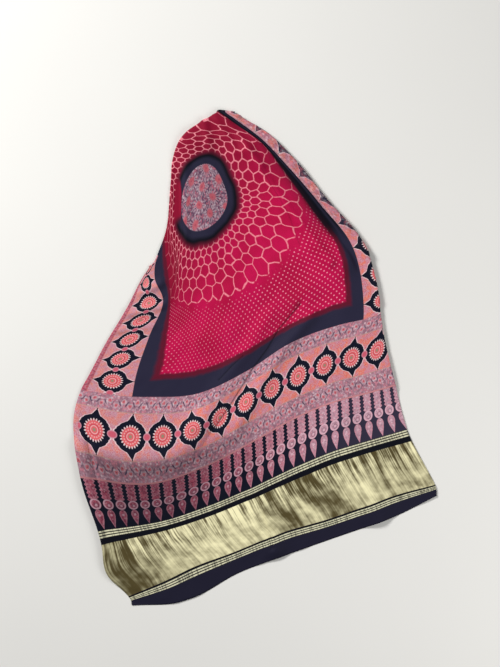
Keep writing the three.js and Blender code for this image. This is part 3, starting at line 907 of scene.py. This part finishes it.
def silk_material(dyes):
    """Silk with the whole design, worked out from the flat-cloth numbers in the piece's own UV map."""
    material = bpy.data.materials.new("printed_silk")
    board = Board(material)
    paint = Paint(dyes)
    uv = board.node("ShaderNodeUVMap", {"uv_map": CLOTH_MAP}).outputs[0]
    parts = board.node("ShaderNodeSeparateXYZ", Vector=uv)
    across = Value(board, parts.outputs[0]) * 1000.0
    along = Value(board, parts.outputs[1]) * 1000.0
    mirrored = along.least(CLOTH_LONG - along)
    side = abs(across)

    colour = field_colour(board, paint, across, along)
    blur = board.grain(across / 26.0, along / 26.0, detail=2.0) - 0.5
    out_of_field = (side - FIELD_SIDE).most(NAVY_END - mirrored) + blur * 9.0
    colour.lay(out_of_field.rise(-5, 5), paint.maroon)
    colour.lay(out_of_field.rise(10, 24), paint.navy)
    # Painted shade in the groove where the field dips beside the turned border, with a thin line left lighter
    # along its middle as a painted highlight on a ridge
    groove_shade = across.rise(322, 346) * across.rise(404, 394) * along.rise(890, 990)
    groove_shade = groove_shade * (1 - across.between(375, 386, 6.0) * 0.5)
    colour.lay(groove_shade * 0.94, paint.night)
    # Painted shade on the field's edge where it slopes down into the groove
    shaded = across.rise(268, 340) * (1 - groove_shade) * side.rise(346, 344) * along.rise(900, 1020)
    colour.lay(shaded * 0.45, paint.maroon)

    in_end = mirrored.below(FIRST_GUARD_END, 0.6)
    band_edge = side + across.rise(0, 100) * along.rise(900, 1060) * 8.0
    on_side = band_edge.rise(BAND_SIDE - 0.6, BAND_SIDE + 0.6) * (1 - in_end)
    end_run = (across - END_FIRST + across.rise(-415, -455) * 9.0).wrap(END_PITCH)
    end_run = end_run + side.rise(534, 535) * 100.0
    side_run = (along - SIDE_FIRST).wrap(SIDE_PITCH)
    run = end_run * in_end + side_run * (1 - in_end)
    middle = (SECOND_GUARD_END + MEDALLIONS_END) / 2
    strip_wide = MEDALLIONS_END - SECOND_GUARD_END
    side_offset = (side - sum(STRIP_SIDE) / 2) * (strip_wide / (STRIP_SIDE[1] - STRIP_SIDE[0]))
    offset = (mirrored - middle) * in_end + side_offset * (1 - in_end)
    medallions = medallion_colour(board, paint, run, offset, across, along)
    guard_run = across * in_end + along * (1 - in_end)
    first_middle = (MEDALLIONS_END + FIRST_GUARD_END) / 2
    second_middle = (LINE_END + SECOND_GUARD_END) / 2
    above = mirrored.rise(middle - 0.5, middle + 0.5)
    end_offset = mirrored - (second_middle + above * (first_middle - second_middle))
    guard_offset = end_offset * in_end + (side - SIDE_GUARD) * (1 - in_end)
    guard = guard_colour(board, paint, guard_run, guard_offset, across, along)

    in_strip = abs(offset).rise(61.0, 60.0)
    border = board.mix(in_strip, guard, medallions)
    edge_line = abs(abs(offset) - 61.5).rise(1.7, 0.8)
    border.lay(edge_line * 0.7, paint.line_grey)
    outer = (1 - in_end) * side.rise(532, 534)
    border.lay(outer * 0.6, paint.red)
    turned = across.rise(398, 402) * along.rise(860, 1000)
    border.lay(turned * 0.38, busy_print(board, paint, across, along, 9.0))
    colour.lay(on_side.most(in_end), border)

    line = mirrored.between(SPIRES_END, SPIRES_END + 5.0)
    colour.lay(line, board.mix(0.4, paint.salmon, paint.line_grey))
    # Painted shade over the end border's lower rows towards the left, where the cloth turns from the light,
    # less at the very selvage
    darker = mirrored.rise(500, 440) * across.rise(150, -200) * (1 - across.rise(-470, -530) * 0.6)
    colour.lay(darker * 0.5, paint.night)
    spires = spire_colour(board, paint, (across - SPIRE_FIRST).wrap(SPIRE_PITCH), mirrored, across, along)
    in_spires = mirrored.below(SPIRES_END, 0.5)
    colour.lay(in_spires, spires)
    breaks = board.grain(across / 3.6, mirrored / 90.0).rise(0.34, 0.56)
    lines = stripes(mirrored, UPPER_STRIPES_START) * (0.4 + breaks * 0.6)
    in_woven = mirrored.below(UPPER_STRIPES_END, 0.4)
    colour.lay(in_woven, paint.night)
    colour.lay(mirrored.below(END_STRIP, 0.4) * 0.55, paint.navy)
    lower_lines = stripes(mirrored, END_STRIP) * (0.4 + breaks * 0.6)
    colour.lay(lines.most(lower_lines), paint.stripe)
    gold = mirrored.between(GOLD_START, GOLD_END, 1.2)
    streaks = gold_streaks(board, across, along, mirrored)
    # Painted light and shade: the band goes from a shaded gold to a lit gold along its streaks
    gold_colour = board.mix(streaks.rise(-0.15, 1.15), paint.gold_deep, paint.gold_light)
    colour.lay(gold, gold_colour)

    creased = crease_depth(board)
    # Painted shade along the sharp creases, beside their bump
    colour.lay(creased.rise(0.4, 3.2) * 0.72, paint.night)

    weave = (across * (2 * np.pi / 1.1)).sin() * (along * (2 * np.pi / 1.1)).sin()
    slub = board.grain(across / 2.0, along / 30.0) - 0.5
    height = weave * 0.05 + slub * 0.25 + gold * streaks * 1.4 - creased
    bump = board.node("ShaderNodeBump", Strength=0.6, Distance=0.001, Height=height)
    shine = board.node(
        "ShaderNodeBsdfPrincipled",
        Base_Color=colour,
        Metallic=gold * 0.15,
        Roughness=0.64 - gold * 0.08,
        Normal=bump.outputs[0],
        Sheen_Weight=0.03,
        Sheen_Roughness=0.4,
        Specular_IOR_Level=0.06,
    )
    board.node("ShaderNodeOutputMaterial", Surface=shine.outputs[0])
    return material


def plain_material(name, colour, roughness):
    """A plain finish with a faint unevenness of tone."""
    material = bpy.data.materials.new(name)
    board = Board(material)
    place = board.node("ShaderNodeTexCoord").outputs["Object"]
    tone = board.noise(place, 1.5, 3.0)
    darker = tuple(part * 0.96 for part in colour[:3]) + (1.0,)
    shader = board.node(
        "ShaderNodeBsdfPrincipled",
        Base_Color=board.mix(tone, darker, colour),
        Roughness=roughness,
    )
    board.node("ShaderNodeOutputMaterial", Surface=shader.outputs[0])
    return material


def colour_property(name, description, code):
    return bpy.props.FloatVectorProperty(
        name=name, description=description, subtype="COLOR", size=4, min=0, max=1, default=rgb(code)
    )


def number_property(name, description, default, low, high, kind, **more):
    return bpy.props.FloatProperty(
        name=name, description=description, default=default, min=low, max=high, subtype=kind, **more
    )


class ShawlSizes(bpy.types.PropertyGroup):
    """Sizes of the cloth that a user may change"""

    thickness: number_property(
        "Thickness", "How thick the silk is", 0.0009, 0.0003, 0.002, "DISTANCE", unit="LENGTH", precision=4
    )
    crumple: number_property(
        "Crumple", "How strongly the cloth is crumpled between its main folds", 1.0, 0.0, 1.5, "FACTOR"
    )


class ShawlDyes(bpy.types.PropertyGroup):
    """Colours of the dyes and threads"""

    crimson: colour_property("Crimson", "The field's dye where it is thin", "A40C3A")
    crimson_bright: colour_property("Bright crimson", "The field's dye where it is strongest", "B40D46")
    navy: colour_property("Navy", "The plain band about the field", "252336")
    salmon: colour_property("Salmon", "The borders' ground", "BB6B7A")
    gold_light: colour_property("Gold", "The gold band where it catches the light", "F2EABC")


class ShawlStudio(bpy.types.PropertyGroup):
    """The camera and the lights"""

    camera_height: number_property(
        "Camera height", "How far above the floor the camera is", 4.5, 1.0, 10.0, "DISTANCE", unit="LENGTH"
    )
    key_power: number_property("Key light", "Power of the soft main light", 390.0, 0.0, 2000.0, "POWER")
    fill_power: number_property("Fill light", "Power of the soft fill light", 38.0, 0.0, 2000.0, "POWER")


class SHAWL_OT_stage(bpy.types.Operator):
    """Make the pale floor, the soft lights and the camera above them"""

    bl_idname = "shawl.stage"
    bl_label = "Make stage"
    bl_options = {"REGISTER", "UNDO"}

    def execute(self, context):
        studio = context.scene.shawl_studio
        make_floor()
        make_lights(studio)
        make_camera(context.scene, studio.camera_height)
        context.scene.view_settings.view_transform = "Standard"
        return {"FINISHED"}


class SHAWL_OT_cloth(bpy.types.Operator):
    """Make the laid shawl with its printed, tie-dyed and woven design"""

    bl_idname = "shawl.cloth"
    bl_label = "Make shawl"
    bl_options = {"REGISTER", "UNDO"}

    def execute(self, context):
        sizes = context.scene.shawl_sizes
        mesh = cloth_mesh("laid_shawl", sizes.thickness / MM, sizes.crumple)
        mesh.materials.append(silk_material(context.scene.shawl_dyes))
        piece = add_object("laid_shawl", mesh)
        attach(piece, "root")
        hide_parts("shawl")
        return {"FINISHED"}


FLOOR_HALF = 12.0
PIXEL_MM = 3.19
PICTURE = (500, 667)
PICTURE_ORIGIN = (255.0, 606.0)
SENSOR_MM = 24.0


def add_object(name, data):
    made = bpy.data.objects.new(name, data)
    bpy.context.scene.collection.objects.link(made)
    return made


def make_floor():
    """A wide pale square, its top at the height that the shawl lies on."""
    corners = np.array(((-1, -1, 0), (1, -1, 0), (1, 1, 0), (-1, 1, 0))) * FLOOR_HALF
    mesh = bpy.data.meshes.new("floor")
    mesh.from_pydata(corners.tolist(), [], [(0, 1, 2, 3)])
    mesh.materials.append(plain_material("pale_floor", rgb("D9D7D2"), 0.9))
    add_object("floor", mesh)


def make_light(name, power, size, place, target):
    """A square soft light at a place, turned towards a target."""
    lamp = bpy.data.lights.new(name, "AREA")
    lamp.energy = power
    lamp.shape = "SQUARE"
    lamp.size = size
    light = add_object(name, lamp)
    light.location = place
    aim = np.array(target) - np.array(place)
    flat = np.hypot(aim[0], aim[1])
    light.rotation_euler = (np.arctan2(flat, -aim[2]), 0.0, np.arctan2(aim[1], aim[0]) - np.pi / 2)


def make_lights(studio):
    """A soft key from the upper left, a weak fill from the lower right and an even pale surround."""
    make_light("key", studio.key_power, 1.5, (-3.6, 2.9, 3.2), (0.0, -0.1, 0.0))
    make_light("fill", studio.fill_power, 1.6, (2.0, -1.1, 1.9), (0.2, -0.1, 0.0))
    world = bpy.data.worlds.new("studio")
    world.use_nodes = True
    surround = world.node_tree.nodes["Background"].inputs
    surround["Color"].default_value = (0.93, 0.96, 1.0, 1.0)
    surround["Strength"].default_value = 0.25
    bpy.context.scene.world = world


def make_camera(scene, height):
    """A camera straight above, whose picture covers the floor at the tables' scale."""
    data = bpy.data.cameras.new("camera")
    data.sensor_fit = "VERTICAL"
    data.sensor_height = SENSOR_MM
    data.lens = SENSOR_MM * height / (PICTURE[1] * PIXEL_MM * MM)
    camera = add_object("camera", data)
    x = (PICTURE[0] / 2 - PICTURE_ORIGIN[0]) * PIXEL_MM - CENTRE[0]
    y = (PICTURE_ORIGIN[1] - PICTURE[1] / 2) * PIXEL_MM - CENTRE[1]
    camera.location = (x * MM, y * MM, height)
    scene.camera = camera


class SHAWL_PT_panel(bpy.types.Panel):
    """Sizes, colours and makers of the shawl"""

    bl_idname = "SHAWL_PT_panel"
    bl_label = "Shawl"
    bl_space_type = "VIEW_3D"
    bl_region_type = "UI"
    bl_category = "Shawl"

    def draw(self, context):
        scene = context.scene
        for group, names in (
            (scene.shawl_sizes, ("thickness", "crumple")),
            (scene.shawl_dyes, USER_DYES),
            (scene.shawl_studio, ("camera_height", "key_power", "fill_power")),
        ):
            for name in names:
                self.layout.prop(group, name)
        self.layout.operator(SHAWL_OT_stage.bl_idname)
        self.layout.operator(SHAWL_OT_cloth.bl_idname)


GROUPS = {"shawl_sizes": ShawlSizes, "shawl_dyes": ShawlDyes, "shawl_studio": ShawlStudio}
CLASSES = (*GROUPS.values(), SHAWL_OT_stage, SHAWL_OT_cloth, SHAWL_PT_panel)


def register():
    for cls in CLASSES:
        bpy.utils.register_class(cls)
    for name, group in GROUPS.items():
        setattr(bpy.types.Scene, name, bpy.props.PointerProperty(type=group))


def unregister():
    for name in GROUPS:
        delattr(bpy.types.Scene, name)
    for cls in reversed(CLASSES):
        bpy.utils.unregister_class(cls)


def main():
    register()
    bpy.ops.shawl.stage()
    bpy.ops.shawl.cloth()


if __name__ == "__main__":
    main()
